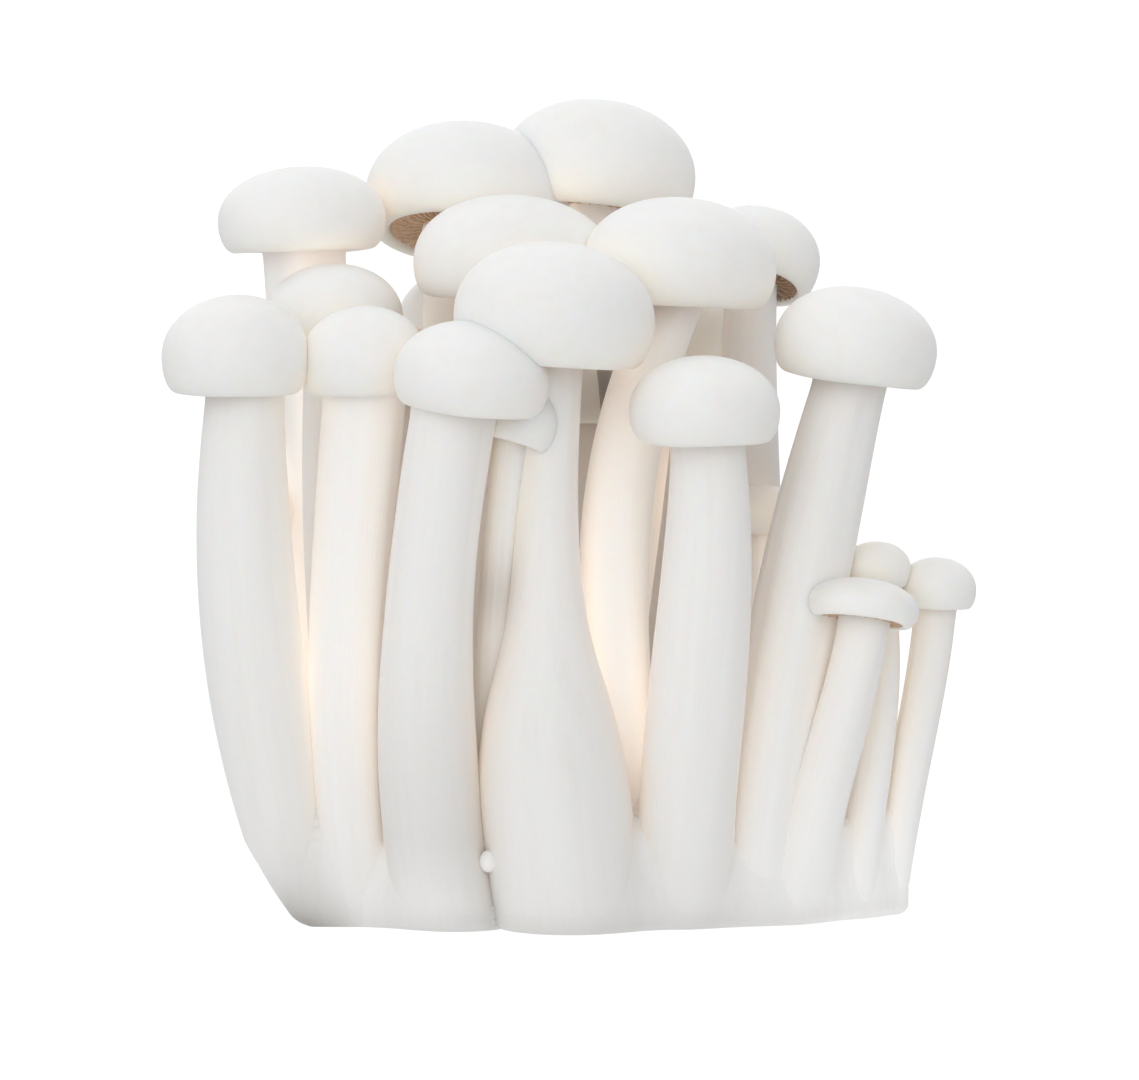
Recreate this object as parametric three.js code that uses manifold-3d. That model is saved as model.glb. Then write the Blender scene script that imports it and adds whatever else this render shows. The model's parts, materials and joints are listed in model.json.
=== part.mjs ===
// A bunch of white beech mushrooms (shimeji), cut flat where it grew from its block.
//
// Millimetres, +Z up. X runs along the broad side of the bunch and -Y is its front.
// Every mushroom is a bowed stem with a domed cap. All the stems rise out of one fused
// base, and the flat cut face under that base lies on z = 0.

import * as THREE from 'three';
import { mergeVertices } from 'three/addons/utils/BufferGeometryUtils.js';
import Module from 'manifold-3d';

const wasm = await Module();
wasm.setup();

// ---- Driving dimensions, millimetres ------------------------------------------------

// Clearance left wherever two pieces press on each other.
const gap = 0.3;

// How finely the pieces are faceted.
const facets = {
  stemRings: 9, stemSides: 12, slimStemSides: 8,
  rimSteps: 2, domeSteps: 4, capSides: 16, smallCapSides: 12,
};

// Stems slimmer and caps narrower than these take the coarser count of sides.
const slimStem = 6.4;
const smallCap = 11;

// The fused base is a low mound: its top falls away from the middle towards the outside.
const base = { crown: 12, fall: 6, reach: 30, centre: [1, 0], sides: 24, steps: 4 };

// Shape of every cap, as shares of its radius or of its height.
const capForm = {
  waist: 0.36, // height of the widest place
  roll: 0.2, // how far the margin rolls in under the widest place
  recess: 0.12, // depth of the hollow under the cap
  recessReach: 0.64, // radius of the hollow's flat roof
  fullness: 2.08, // exponent of the dome's curve: 2 is an ellipse, more is fuller
};

// How far a stem runs up past its neck before its own cap trims it.
const stemTenon = 1.5;

// The mushrooms. The front ones come first: they keep their whole shape, and each later
// one is dented where it presses on an earlier one.
//   foot      where the middle of the stem meets the cut face, [x, y]
//   footLean  slope of the stem there, sideways per unit of rise, [x, y]
//   neck      where the stem meets its cap, [x, y, z]
//   neckLean  slope of the stem there
//   girth     stem diameters at even steps from foot to neck
//   cap       across and high are its size, lean is the slope of its axis, and aside is
//             how far its middle stands off the neck, where it isn't centred, [x, y]
const mushrooms = [
  {
    place: 'left_front',
    foot: [-11.6, -18], footLean: [-0.26, 0], neck: [-11.1, -20, 52], neckLean: [0.18, -0.02],
    girth: [10.4, 10, 8.6, 8.6],
    cap: { across: 15.4, high: 8.8, lean: [0.1, -0.04], aside: [1.3, 0] },
  },
  {
    place: 'far_left',
    foot: [-26.6, -14], footLean: [-0.2, -0.02], neck: [-32, -14, 53.6], neckLean: [0.08, -0.02],
    girth: [6.2, 9.7, 9.8, 7.6],
    cap: { across: 14.4, high: 9.6, lean: [0, -0.04], aside: [-0.9, 0] },
  },
  {
    place: 'right_front',
    foot: [10.9, -16], footLean: [0.04, 0], neck: [13.3, -19, 48.9], neckLean: [-0.05, -0.05],
    girth: [9, 10, 9.4, 7.2],
    cap: { across: 14.7, high: 8.4, lean: [0, -0.04], aside: [-0.2, 0] },
  },
  {
    place: 'centre_front',
    foot: [-0.2, -18], footLean: [-0.12, 0], neck: [-1.5, -15, 57], neckLean: [0.1, 0.03],
    girth: [13.4, 15.2, 13.8, 8.4, 6.2, 6, 5.8],
    cap: { across: 20, high: 11.7, lean: [0.1, -0.03], aside: [-0.4, 0] },
  },
  {
    place: 'centre_tucked',
    foot: [-7, -12], footLean: [-0.05, 0], neck: [-5.8, -16, 48], neckLean: [0.1, -0.1],
    girth: [4.5, 4.5, 4.2, 3.8],
    cap: { across: 9.4, high: 7, lean: [0.3, 0.22] },
  },
  {
    place: 'left_inner',
    foot: [-20.3, -15], footLean: [-0.2, 0.02], neck: [-20.3, -12.4, 53.3], neckLean: [0.06, 0],
    girth: [7, 6.9, 7.5, 8.2],
    cap: { across: 12.5, high: 8.6, lean: [-0.03, -0.03] },
  },
  {
    place: 'right_small_front',
    foot: [21.8, -13], footLean: [0.14, 0], neck: [29, -14, 30.3], neckLean: [0.14, 0.1],
    girth: [6, 6, 5.5, 5],
    cap: { across: 11.2, high: 4.3, lean: [0.14, 0.2], aside: [-0.3, 0] },
  },
  {
    place: 'right_tall',
    foot: [17.4, -13], footLean: [0.17, 0.03], neck: [28, -8, 54.4], neckLean: [0.3, 0.05],
    girth: [6.4, 8.6, 9.2, 7.4],
    cap: { across: 16.2, high: 9.3, lean: [0.14, 0], aside: [-0.1, 0] },
  },
  {
    place: 'right_small_end',
    foot: [31.6, -6], footLean: [0.06, 0], neck: [36.3, -6, 31.2], neckLean: [0.05, 0],
    girth: [3.6, 4.1, 4.2, 4.2],
    cap: { across: 7.8, high: 5, lean: [0.06, 0] },
  },
  {
    place: 'right_small_middle',
    foot: [27.4, -9], footLean: [0.12, 0.03], neck: [30.3, -7.2, 33.3], neckLean: [-0.2, 0.05],
    girth: [4.6, 4.4, 3.8, 3.4],
    cap: { across: 7.1, high: 4.5, lean: [0, 0] },
  },
  {
    place: 'right_high',
    foot: [8.4, -8], footLean: [-0.22, -0.27], neck: [10.8, -4, 62], neckLean: [0.48, 0.46],
    girth: [6.5, 6.8, 7, 6.4],
    cap: { across: 19.5, high: 10.6, lean: [0.07, 0], aside: [-0.2, 0] },
  },
  {
    place: 'centre_high',
    foot: [-3, -7], footLean: [0, 0], neck: [-5.7, 1.5, 61.7], neckLean: [-0.05, 0.1],
    girth: [7, 7, 6.5, 6],
    cap: { across: 20.4, high: 11, lean: [0.12, 0.03] },
  },
  {
    place: 'right_tiny',
    foot: [18, -5], footLean: [0.03, 0], neck: [19.3, 0, 38.2], neckLean: [0.02, 0.05],
    girth: [3.6, 3.6, 3.2, 3],
    cap: { across: 6.8, high: 4.8, lean: [0, 0] },
  },
  {
    place: 'right_leaning',
    foot: [15.2, 4], footLean: [0.18, 0], neck: [18.3, 8, 63], neckLean: [0.04, 0.02],
    girth: [7, 7, 6.4, 5],
    cap: { across: 13, high: 8, lean: [0.26, 0.42] },
  },
  {
    place: 'left_tucked',
    foot: [-21, -4], footLean: [-0.08, 0], neck: [-23.6, 0, 57], neckLean: [0.02, 0.03],
    girth: [6.4, 6.6, 6.4, 6],
    cap: { across: 13.8, high: 8.6, lean: [0, 0] },
  },
  {
    place: 'left_high',
    foot: [-20, 4], footLean: [-0.1, 0], neck: [-27, 7, 66.5], neckLean: [-0.05, 0.03],
    girth: [8.4, 8.6, 8.4, 8.2],
    cap: { across: 17, high: 8.6, lean: [-0.03, 0.05] },
  },
  {
    place: 'top_left',
    foot: [-9, 5], footLean: [0, 0.05], neck: [-11, 13.5, 67.9], neckLean: [0, 0.2],
    girth: [9, 9.4, 8.6, 8],
    cap: { across: 20.6, high: 11.8, lean: [0.08, 0.38], aside: [0.3, 0] },
  },
  {
    place: 'top_right',
    foot: [3.5, 7], footLean: [0.1, 0.08], neck: [2.4, 17, 70.2], neckLean: [-0.38, 0.18],
    girth: [9, 9.2, 8, 7],
    cap: { across: 20, high: 11.8, lean: [0.1, 0.18] },
  },
  {
    place: 'back_inner_left',
    foot: [-14, 2], footLean: [0, 0], neck: [-17.5, 8, 51], neckLean: [-0.1, 0.1],
    girth: [8, 8, 6.4, 5.6],
    cap: { across: 12, high: 8, lean: [-0.08, 0.08] },
  },
  {
    place: 'back_inner_right',
    foot: [9.5, 3], footLean: [0, 0], neck: [13, 7, 48], neckLean: [0.1, 0.05],
    girth: [8, 8, 6, 5],
    cap: { across: 10.4, high: 7.2, lean: [0.06, 0.05] },
  },
  {
    place: 'back_left',
    foot: [-17, 10], footLean: [-0.05, 0.1], neck: [-20, 17, 44], neckLean: [-0.1, 0.15],
    girth: [9.4, 9, 7.4, 6.4],
    cap: { across: 14, high: 8.8, lean: [-0.12, 0.2] },
  },
  {
    place: 'back_centre_left',
    foot: [-7, 14], footLean: [0, 0.1], neck: [-9.6, 22, 55.5], neckLean: [0, 0.15],
    girth: [11.6, 11, 8.2, 7.2],
    cap: { across: 16, high: 9.4, lean: [-0.02, 0.15] },
  },
  {
    place: 'back_centre_right',
    foot: [13, 12.5], footLean: [0, 0.1], neck: [12.4, 19.5, 54], neckLean: [0, 0.12],
    girth: [9.6, 10, 7.6, 6.6],
    cap: { across: 13.4, high: 8.6, lean: [0.02, 0.15] },
  },
  {
    place: 'back_end_right',
    foot: [22.5, 2.5], footLean: [0.1, 0.05], neck: [26, 7, 25.5], neckLean: [0.1, 0.1],
    girth: [7.4, 7, 5.6, 5],
    cap: { across: 10.4, high: 6.4, lean: [0.12, 0.12] },
  },
  {
    place: 'back_end_left',
    foot: [-26, -2.5], footLean: [-0.05, 0.05], neck: [-32.2, 3, 38], neckLean: [-0.1, 0.05],
    girth: [6.6, 7, 5.4, 4.8],
    cap: { across: 8.8, high: 6.4, lean: [-0.02, 0.1] },
  },
  {
    place: 'back_far_left',
    foot: [-24, 5.5], footLean: [-0.1, 0.05], neck: [-28, 12, 31], neckLean: [-0.05, 0.15],
    girth: [7.4, 7, 5.4, 4.8],
    cap: { across: 10.6, high: 6.8, lean: [-0.1, 0.16] },
  },
  {
    place: 'back_centre',
    foot: [3.5, 15.5], footLean: [0, 0.12], neck: [2, 24, 47.5], neckLean: [-0.05, 0.18],
    girth: [10, 9.6, 7, 6],
    cap: { across: 13, high: 8.4, lean: [0, 0.2] },
  },
  {
    place: 'back_low_left',
    foot: [-14.5, 17], footLean: [-0.05, 0.15], neck: [-15.5, 24, 27], neckLean: [-0.05, 0.25],
    girth: [6.4, 6, 4.6, 4.2],
    cap: { across: 8.8, high: 6, lean: [-0.05, 0.25] },
  },
  {
    place: 'back_low_right',
    foot: [19.5, 9.5], footLean: [0.1, 0.12], neck: [22.5, 16.5, 33], neckLean: [0.1, 0.18],
    girth: [7.6, 7.2, 5.4, 4.8],
    cap: { across: 10, high: 6.4, lean: [0.12, 0.18] },
  },
];

// The mushrooms whose feet stand outermost, in order round the base. The flesh between
// these feet has grown together.
const outermost = [
  'far_left', 'left_inner', 'left_front', 'centre_front', 'right_front', 'right_small_front',
  'right_small_middle', 'right_small_end', 'back_end_right', 'back_low_right', 'back_centre_right',
  'back_centre', 'back_centre_left', 'back_low_left', 'back_left', 'back_far_left', 'back_end_left',
];

// ---- Materials ----------------------------------------------------------------------

function flesh(color, roughness) {
  return new THREE.MeshStandardMaterial({ color, roughness, metalness: 0 });
}

const capSkin = () => flesh(0xf4f1ec, 0.45);
const stemFlesh = () => flesh(0xefebe3, 0.6);
const cutFlesh = () => flesh(0xe6dfd2, 0.7);

// ---- Solids -------------------------------------------------------------------------

// Turns a closed three.js geometry into a solid that can be joined and cut.
function toSolid(geometry) {
  const bare = geometry.clone();
  bare.deleteAttribute('normal');
  bare.deleteAttribute('uv');
  const merged = mergeVertices(bare, 1e-4);
  const index = merged.index.array;
  const corners = [];
  for (let i = 0; i < index.length; i += 3) {
    const [a, b, c] = [index[i], index[i + 1], index[i + 2]];
    if (a !== b && b !== c && c !== a) corners.push(a, b, c);
  }
  return new wasm.Manifold(new wasm.Mesh({
    numProp: 3,
    vertProperties: merged.attributes.position.array,
    triVerts: Uint32Array.from(corners),
  }));
}

function toGeometry(solid) {
  const mesh = solid.getMesh();
  const geometry = new THREE.BufferGeometry();
  geometry.setAttribute('position', new THREE.BufferAttribute(mesh.vertProperties, 3));
  geometry.setIndex(new THREE.BufferAttribute(mesh.triVerts, 1));
  geometry.computeVertexNormals();
  return geometry;
}

// Cutting can leave slivers beside the piece itself: only the piece is kept.
function largestPart(solid) {
  return solid.decompose().reduce((best, part) => (part.volume() > best.volume() ? part : best));
}

function boxesMeet(a, b) {
  const boxA = a.boundingBox();
  const boxB = b.boundingBox();
  return boxA.min.every((low, axis) => low < boxB.max[axis] && boxB.min[axis] < boxA.max[axis]);
}

// A closed profile turned about +Z.
function turned(profile, sides) {
  return new THREE.LatheGeometry(profile, sides).rotateX(Math.PI / 2);
}

// ---- Stem ---------------------------------------------------------------------------

// Middle line of a stem. Its height is in step with the curve's parameter, because the
// inner control points stand at a third and two thirds of the height.
function stemLine({ foot, footLean, neck, neckLean }) {
  const third = neck[2] / 3;
  return new THREE.CubicBezierCurve3(
    new THREE.Vector3(foot[0], foot[1], 0),
    new THREE.Vector3(foot[0] + footLean[0] * third, foot[1] + footLean[1] * third, third),
    new THREE.Vector3(neck[0] - neckLean[0] * third, neck[1] - neckLean[1] * third, 2 * third),
    new THREE.Vector3(...neck),
  );
}

// A round stem of changing girth, bent so that its level rings follow the middle line.
function stemSolid(mushroom, grow = 0) {
  const height = mushroom.neck[2];
  const steps = mushroom.girth.length - 1;
  const side = new THREE.SplineCurve(mushroom.girth.map(
    (girth, i) => new THREE.Vector2(girth / 2 + grow, (height * i) / steps),
  )).getPoints(facets.stemRings - 1);
  const foot = new THREE.Vector2(side[0].x, -grow);
  const tip = new THREE.Vector2(side.at(-1).x, height + stemTenon + grow);
  const outline = [foot, ...side.slice(1), tip];
  const profile = [new THREE.Vector2(0, foot.y), ...outline, new THREE.Vector2(0, tip.y)];

  const isSlim = Math.max(...mushroom.girth) < slimStem;
  const geometry = turned(profile, isSlim ? facets.slimStemSides : facets.stemSides);
  const line = stemLine(mushroom);
  const position = geometry.attributes.position;
  for (let i = 0; i < position.count; i += 1) {
    const middle = line.getPoint(position.getZ(i) / height);
    position.setX(i, position.getX(i) + middle.x);
    position.setY(i, position.getY(i) + middle.y);
  }
  return toSolid(geometry);
}

// ---- Cap ----------------------------------------------------------------------------

// Half section of a cap. Height 0 is the flat roof of the hollow, where the stem ends.
function capProfile({ across, high }, grow) {
  const radius = across / 2 + grow;
  const recess = capForm.recess * high;
  const waist = capForm.waist * high;
  const roll = capForm.roll * radius;
  const floor = -recess - grow;
  const power = 2 / capForm.fullness;

  const profile = [
    new THREE.Vector2(0, -grow),
    new THREE.Vector2(capForm.recessReach * radius, -grow),
  ];
  for (let i = 0; i < facets.rimSteps; i += 1) {
    const turn = (i / facets.rimSteps) * (Math.PI / 2);
    profile.push(new THREE.Vector2(
      radius - roll * (1 - Math.sin(turn)),
      floor + (waist + grow) * (1 - Math.cos(turn)),
    ));
  }
  for (let i = 0; i <= facets.domeSteps; i += 1) {
    const turn = (i / facets.domeSteps) * (Math.PI / 2);
    profile.push(new THREE.Vector2(
      radius * Math.max(0, Math.cos(turn)) ** power,
      waist - recess + (high - waist + grow) * Math.sin(turn) ** power,
    ));
  }
  profile.at(-1).x = 0;
  return profile;
}

// Places a cap on its neck, tilted so that its axis leans as asked.
function capPlace({ neck, cap }) {
  const [asideX, asideY] = cap.aside ?? [0, 0];
  const seat = new THREE.Vector3(neck[0] + asideX, neck[1] + asideY, neck[2]);
  const axis = new THREE.Vector3(cap.lean[0], cap.lean[1], 1).normalize();
  const turn = new THREE.Quaternion().setFromUnitVectors(new THREE.Vector3(0, 0, 1), axis);
  return new THREE.Matrix4().compose(seat, turn, new THREE.Vector3(1, 1, 1));
}

function capSolid(mushroom, grow = 0) {
  const sides = mushroom.cap.across < smallCap ? facets.smallCapSides : facets.capSides;
  const geometry = turned(capProfile(mushroom.cap, grow), sides);
  return toSolid(geometry.applyMatrix4(capPlace(mushroom)));
}

// ---- Base ---------------------------------------------------------------------------

// The low mound that bounds the fused base. The stems come away from the base along it.
function moundSolid(grow = 0) {
  const reach = 1.6 * base.reach;
  const profile = [new THREE.Vector2(0, 0), new THREE.Vector2(reach, 0)];
  for (let i = base.steps; i >= 0; i -= 1) {
    const out = (reach * i) / base.steps;
    const height = base.crown - base.fall * (out / base.reach) ** 2 + grow;
    profile.push(new THREE.Vector2(out, Math.max(height, 1)));
  }
  const geometry = turned(profile, base.sides);
  geometry.translate(base.centre[0], base.centre[1], 0);
  return toSolid(geometry);
}

// The fused base: flesh between the outermost feet, with those feet as lobes round it.
function baseSolid() {
  const outer = outermost.map((place) => mushrooms.find((mushroom) => mushroom.place === place));
  const outline = new THREE.Shape(outer.map(({ foot }) => new THREE.Vector2(...foot)));
  const fill = new THREE.ExtrudeGeometry(outline, { depth: base.crown, bevelEnabled: false });
  const lobed = outer.reduce((solid, mushroom) => solid.add(stemSolid(mushroom)), toSolid(fill));
  return lobed.intersect(moundSolid());
}

// ---- Assembly -----------------------------------------------------------------------

const bunch = new THREE.Group();
bunch.name = 'shimeji_bunch';

// Puts a finished solid on a named mesh, with its geometry in the mesh's own frame.
function addPiece(name, solid, material, place, parent) {
  const mesh = new THREE.Mesh(toGeometry(solid), material);
  mesh.name = name;
  mesh.applyMatrix4(place);
  mesh.geometry.applyMatrix4(place.clone().invert());
  parent.add(mesh);
}

// Grown copies of the pieces placed so far. A later piece is cut back by them.
const placed = [];

function dent(solid) {
  const cut = placed.reduce(
    (left, other) => (boxesMeet(left, other) ? left.subtract(other) : left),
    solid,
  );
  return largestPart(cut);
}

addPiece('base', baseSolid(), cutFlesh(), new THREE.Matrix4(), bunch);
placed.push(moundSolid(gap));

for (const mushroom of mushrooms) {
  const cap = dent(capSolid(mushroom));
  const ownCap = capSolid(mushroom, gap);
  const stem = largestPart(dent(stemSolid(mushroom)).subtract(ownCap));
  const footPlace = new THREE.Matrix4().makeTranslation(mushroom.foot[0], mushroom.foot[1], 0);
  addPiece(`stem_${mushroom.place}`, stem, stemFlesh(), footPlace, bunch);
  addPiece(`cap_${mushroom.place}`, cap, capSkin(), capPlace(mushroom), bunch);
  placed.push(ownCap, stemSolid(mushroom, gap));
}

// The origin is under the middle of the bunch's box, on the cut face.
bunch.updateMatrixWorld(true);
const box = new THREE.Box3().setFromObject(bunch, true);
const middle = box.getCenter(new THREE.Vector3());
bunch.position.set(-middle.x, -middle.y, 0);
bunch.updateMatrixWorld(true);

export default bunch;
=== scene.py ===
# A bunch of white beech mushrooms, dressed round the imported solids: stems with fine lengthwise
# ridges, smooth caps with real gills under them, and the fused base with its cut face.
# Shapes are worked out in millimetres and become metres when a mesh is made.

import json
import math
from itertools import combinations

import bpy
import numpy as np
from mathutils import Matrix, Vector


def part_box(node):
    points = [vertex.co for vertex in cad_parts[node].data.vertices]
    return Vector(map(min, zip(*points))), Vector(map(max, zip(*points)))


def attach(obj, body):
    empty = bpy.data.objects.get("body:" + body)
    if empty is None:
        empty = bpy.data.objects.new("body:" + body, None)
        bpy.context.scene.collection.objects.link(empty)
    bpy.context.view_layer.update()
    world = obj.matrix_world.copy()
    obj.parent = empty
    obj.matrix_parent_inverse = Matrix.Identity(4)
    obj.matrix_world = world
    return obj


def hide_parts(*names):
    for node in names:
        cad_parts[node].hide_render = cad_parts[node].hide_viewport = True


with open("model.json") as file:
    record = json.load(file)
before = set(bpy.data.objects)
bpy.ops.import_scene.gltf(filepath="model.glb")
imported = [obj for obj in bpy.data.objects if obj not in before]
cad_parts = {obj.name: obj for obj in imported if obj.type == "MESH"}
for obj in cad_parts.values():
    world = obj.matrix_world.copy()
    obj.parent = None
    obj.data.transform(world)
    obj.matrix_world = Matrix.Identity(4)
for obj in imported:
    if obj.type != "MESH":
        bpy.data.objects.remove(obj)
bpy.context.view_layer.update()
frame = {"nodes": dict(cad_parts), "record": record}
cad = frame["nodes"]
nodeOrder = [row["node"] for row in frame["record"]["subparts"]]
places = [node[5:] for node in nodeOrder if node.startswith("stem_")]  # front ones first
print("frame loaded,", len(places), "mushrooms")

mm = 0.001
turn = 2 * math.pi
quarter = turn / 4


# reading the solids

def cornersOf(node):
    mesh = cad[node].data
    flat = np.empty(len(mesh.vertices) * 3)
    mesh.vertices.foreach_get("co", flat)
    return flat.reshape(-1, 3) / mm


def facesOf(node):
    mesh = cad[node].data
    mesh.calc_loop_triangles()
    flat = np.empty(len(mesh.loop_triangles) * 3, int)
    mesh.loop_triangles.foreach_get("vertices", flat)
    return flat.reshape(-1, 3)


# the solids' own cap form: shares of a cap's radius or height
capForm = {"waist": 0.36, "roll": 0.2, "recess": 0.12, "fullness": 2.08}

reading = {
    "level": 0.006,  # mm that a corner may be off a stem's level ring
    "tilted": 0.012,  # the same for a tilted cap
    "slack": 0.025,  # mm that a point may be off its circle
    "tooFlat": 0.2,  # mm2, twice the area of the least useful three points
    "onStem": 5, "onCap": 7, "onFoot": 4,  # points that make a circle trustworthy
    "shoulder": 1,  # mm below a stem's top where its rings end
    "tip": 0.6,  # mm below a stem's top that counts as its tip
    "footAside": 1,  # mm that a foot's circle may be off the stem's line
    "nearFoot": (0.5, 1.6),  # distances from the line, in girths, that belong to a foot
    "roofLean": -0.6,  # a cap's roof faces down at least this far
}


def tidyPoints(points):
    return np.unique(np.round(points, 2), axis=0)


def circleThrough(points):
    # the circle that most of the points lie on: where a solid is dented they fall inside it
    slack = reading["slack"]
    if len(points) < 4:
        return None, 0, 0
    trio = np.array(list(combinations(range(len(points)), 3)))
    a, b, c = (points[trio[:, i]] for i in range(3))
    ab, ac = b - a, c - a
    area = ab[:, 0] * ac[:, 1] - ab[:, 1] * ac[:, 0]
    wide = abs(area) > reading["tooFlat"]
    if not wide.any():
        return None, 0, 0
    a, ab, ac, area = a[wide], ab[wide], ac[wide], area[wide]
    bb, cc = (ab ** 2).sum(1), (ac ** 2).sum(1)
    toMiddle = np.stack([ac[:, 1] * bb - ab[:, 1] * cc, ab[:, 0] * cc - ac[:, 0] * bb], 1)
    middle = a + toMiddle / (2 * area[:, None])
    radius = np.linalg.norm(middle - a, axis=1)
    off = np.linalg.norm(points[None] - middle[:, None], axis=2) - radius[:, None]
    onIt = (abs(off) < slack).sum(1) - 2 * (off > 3 * slack).sum(1)
    best = onIt.argmax()
    return middle[best], radius[best], onIt[best]


baseFoot = tidyPoints(cornersOf("base")[cornersOf("base")[:, 2] < 0.01][:, :2])


def readStem(place):
    # a stem's middle line is a cubic in height, and its rings give the line and the girth
    corners = cornersOf("stem_" + place)
    top = corners[:, 2].max()
    rings = []
    for height in np.unique(np.round(corners[:, 2], 2)):
        level = tidyPoints(corners[abs(corners[:, 2] - height) < reading["level"]][:, :2])
        middle, radius, onIt = circleThrough(level)
        if onIt >= reading["onStem"] and height < top - reading["shoulder"]:
            rings.append((height, *middle, radius))
    z, x, y, r = np.array(rings).T
    line = np.polyfit(z, np.stack([x, y], 1), min(3, len(z) - 1))

    foot = line[-1]
    away = np.linalg.norm(baseFoot - foot, axis=1) / r[0]
    least, most = reading["nearFoot"]
    middle, radius, onIt = circleThrough(baseFoot[(away > least) & (away < most)])
    found = onIt >= reading["onFoot"] and np.linalg.norm(middle - foot) < reading["footAside"]
    footRadius = radius if found else r[0]

    tip = corners[corners[:, 2] > top - reading["tip"]]
    tipMiddle = np.stack([np.polyval(line[:, i], tip[:, 2]) for i in range(2)], 1)
    tipRadius = np.linalg.norm(tip[:, :2] - tipMiddle, axis=1).max()
    heights = np.array([0, *z, top])
    radii = np.array([footRadius, *r, min(tipRadius, r[-1])])
    return {"line": line, "heights": heights, "radii": radii, "top": top}


def lineAt(stem, z):
    return np.stack([np.polyval(stem["line"][:, i], z) for i in range(2)], -1)


easing = (-2.5, -1.25, 0, 1.25, 2.5)  # mm up and down


def radiusAt(stem, z):
    # girth between the rings, eased so that no ring shows as a kink
    total = 0
    for step in easing:
        total = total + np.interp(z + step, stem["heights"], stem["radii"])
    return total / len(easing)


def readCap(place):
    # the flat roof under the cap gives its axis and seat, and its widest ring gives the rest
    node = "cap_" + place
    corners, faces = cornersOf(node), facesOf(node)
    a, b, c = (corners[faces[:, i]] for i in range(3))
    normal = np.cross(b - a, c - a)
    area = np.linalg.norm(normal, axis=1) + 1e-12
    normal = normal / area[:, None]
    down = (normal[:, 2] < reading["roofLean"]) & (area > 1e-3)
    likeIt = np.abs(normal[down][:, None] - normal[None, down]).max(2) < reading["tilted"]
    flat = likeIt[(likeIt * area[down]).sum(1).argmax()]
    axis = -(normal[down][flat] * area[down][flat, None]).sum(0)
    axis /= np.linalg.norm(axis)
    seat = np.average(((a + b + c) / 3)[down][flat] @ axis, weights=area[down][flat])

    across = np.cross([0, 1, 0], axis)
    across /= np.linalg.norm(across)
    along = np.cross(axis, across)
    height = corners @ axis - seat
    flatPoints = np.stack([corners @ across, corners @ along], 1)
    widest = (0, None, 0)
    for level in np.unique(np.round(height, 2)):
        middle, radius, onIt = circleThrough(tidyPoints(flatPoints[abs(height - level) < reading["tilted"]]))
        if onIt >= reading["onCap"] and radius > widest[0]:
            widest = (radius, middle, level)
    radius, middle, waist = widest
    centre = across * middle[0] + along * middle[1] + axis * seat
    return {
        "centre": centre, "axis": axis, "across": across, "along": along,
        "radius": radius, "high": waist / (capForm["waist"] - capForm["recess"]),
    }


stems = {place: readStem(place) for place in places}
caps = {place: readCap(place) for place in places}
print("solids read")


# how crowded a place is: the flesh gets a warm painted shade where neighbours close in on it

crowding = {
    "stemReach": 4.0, "capReach": 2.6,  # mm over which a neighbour counts
    "aboveStem": 1,  # mm above a stem's top that it still counts
    "byStem": 0.85, "byCap": 0.7,  # how much one neighbour can close in
    "turnedStem": 0.15, "turnedCap": 0.1,  # how far past sideways a surface still faces it
    "capMiddle": 0.25,  # where the middle of a cap is, share of its height
    "underCap": 2.2,  # mm below its own cap over which a stem's painted shade fades
    # stems that take on less of the warm painted shade
    "paler": {"left_high": 0.4, "left_inner": 0.5, "right_tall": 0.5, "right_high": 0.8},
}


def outwardOf(rings):
    # outward directions of a sleeve of rings, from the neighbouring points
    around = np.roll(rings, -1, axis=1) - np.roll(rings, 1, axis=1)
    up = np.gradient(rings, axis=0)
    out = np.cross(around, up)
    return out / (np.linalg.norm(out, axis=-1, keepdims=True) + 1e-9)


def crowdedness(points, outward, own=None):
    # nought in the open, one where the neighbours shut a place in
    openness = np.ones(points.shape[:-1])
    x, y, z = points[..., 0], points[..., 1], points[..., 2]
    for place in places:
        stem, cap = stems[place], caps[place]
        if place != own:
            towards = lineAt(stem, z) - points[..., :2]
            apart = np.linalg.norm(towards, axis=-1) + 1e-6
            facing = (outward[..., :2] * towards).sum(-1) / apart
            gap = apart - np.interp(z, stem["heights"], stem["radii"])
            below = z < stem["top"] + crowding["aboveStem"]
            near = np.exp(-np.clip(gap, 0, None) / crowding["stemReach"]) * below
            facing = np.clip(facing + crowding["turnedStem"], 0, 1)
            openness = openness * (1 - crowding["byStem"] * facing * near)
            middle = cap["centre"] + cap["axis"] * crowding["capMiddle"] * cap["high"]
            towards = middle - points
            along = (towards @ cap["axis"])[..., None] * cap["axis"]
            towards = towards + along * (cap["radius"] / cap["high"] - 1)
            apart = np.linalg.norm(towards, axis=-1) + 1e-6
            facing = (outward * towards).sum(-1) / apart
            near = np.exp(-np.clip(apart - cap["radius"], 0, None) / crowding["capReach"])
            facing = np.clip(facing + crowding["turnedCap"], 0, 1)
            openness = openness * (1 - crowding["byCap"] * facing * near)
    return 1 - openness


# deep holes given painted shade, with the painted glow held back there: mm across, back and up, mm of reach,
# amount
shadedHollows = ((3, 11, 51, 6, 1), (-7.3, -17, 33, 3.5, 0.3), (18.7, 2.3, 43.6, 6, 0.3))

seeping = {
    "behind": 20, "over": 12,  # mm in y: the painted glow fades out over the rows behind this
    "full": 25,  # mm above the cut from where the painted glow is full
    "narrow": 1.5,  # power of the crowding
    # how much more or less painted glow some mushrooms get
    "share": {
        "centre_tucked": 0, "right_small_middle": 0.1, "right_small_end": 0.2, "right_small_front": 0.2,
        "right_tall": 0.3, "left_front": 0.35, "centre_front": 0.75, "far_left": 0.7,
        "right_high": 1.35, "left_inner": 0.9, "left_high": 3, "right_tiny": 4, "top_right": 2.5,
    },
    # stems that get some painted glow all over
    "clear": {"left_high": 0.3, "left_inner": 0.22, "right_high": 0.22, "top_right": 0.42},
}


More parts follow.
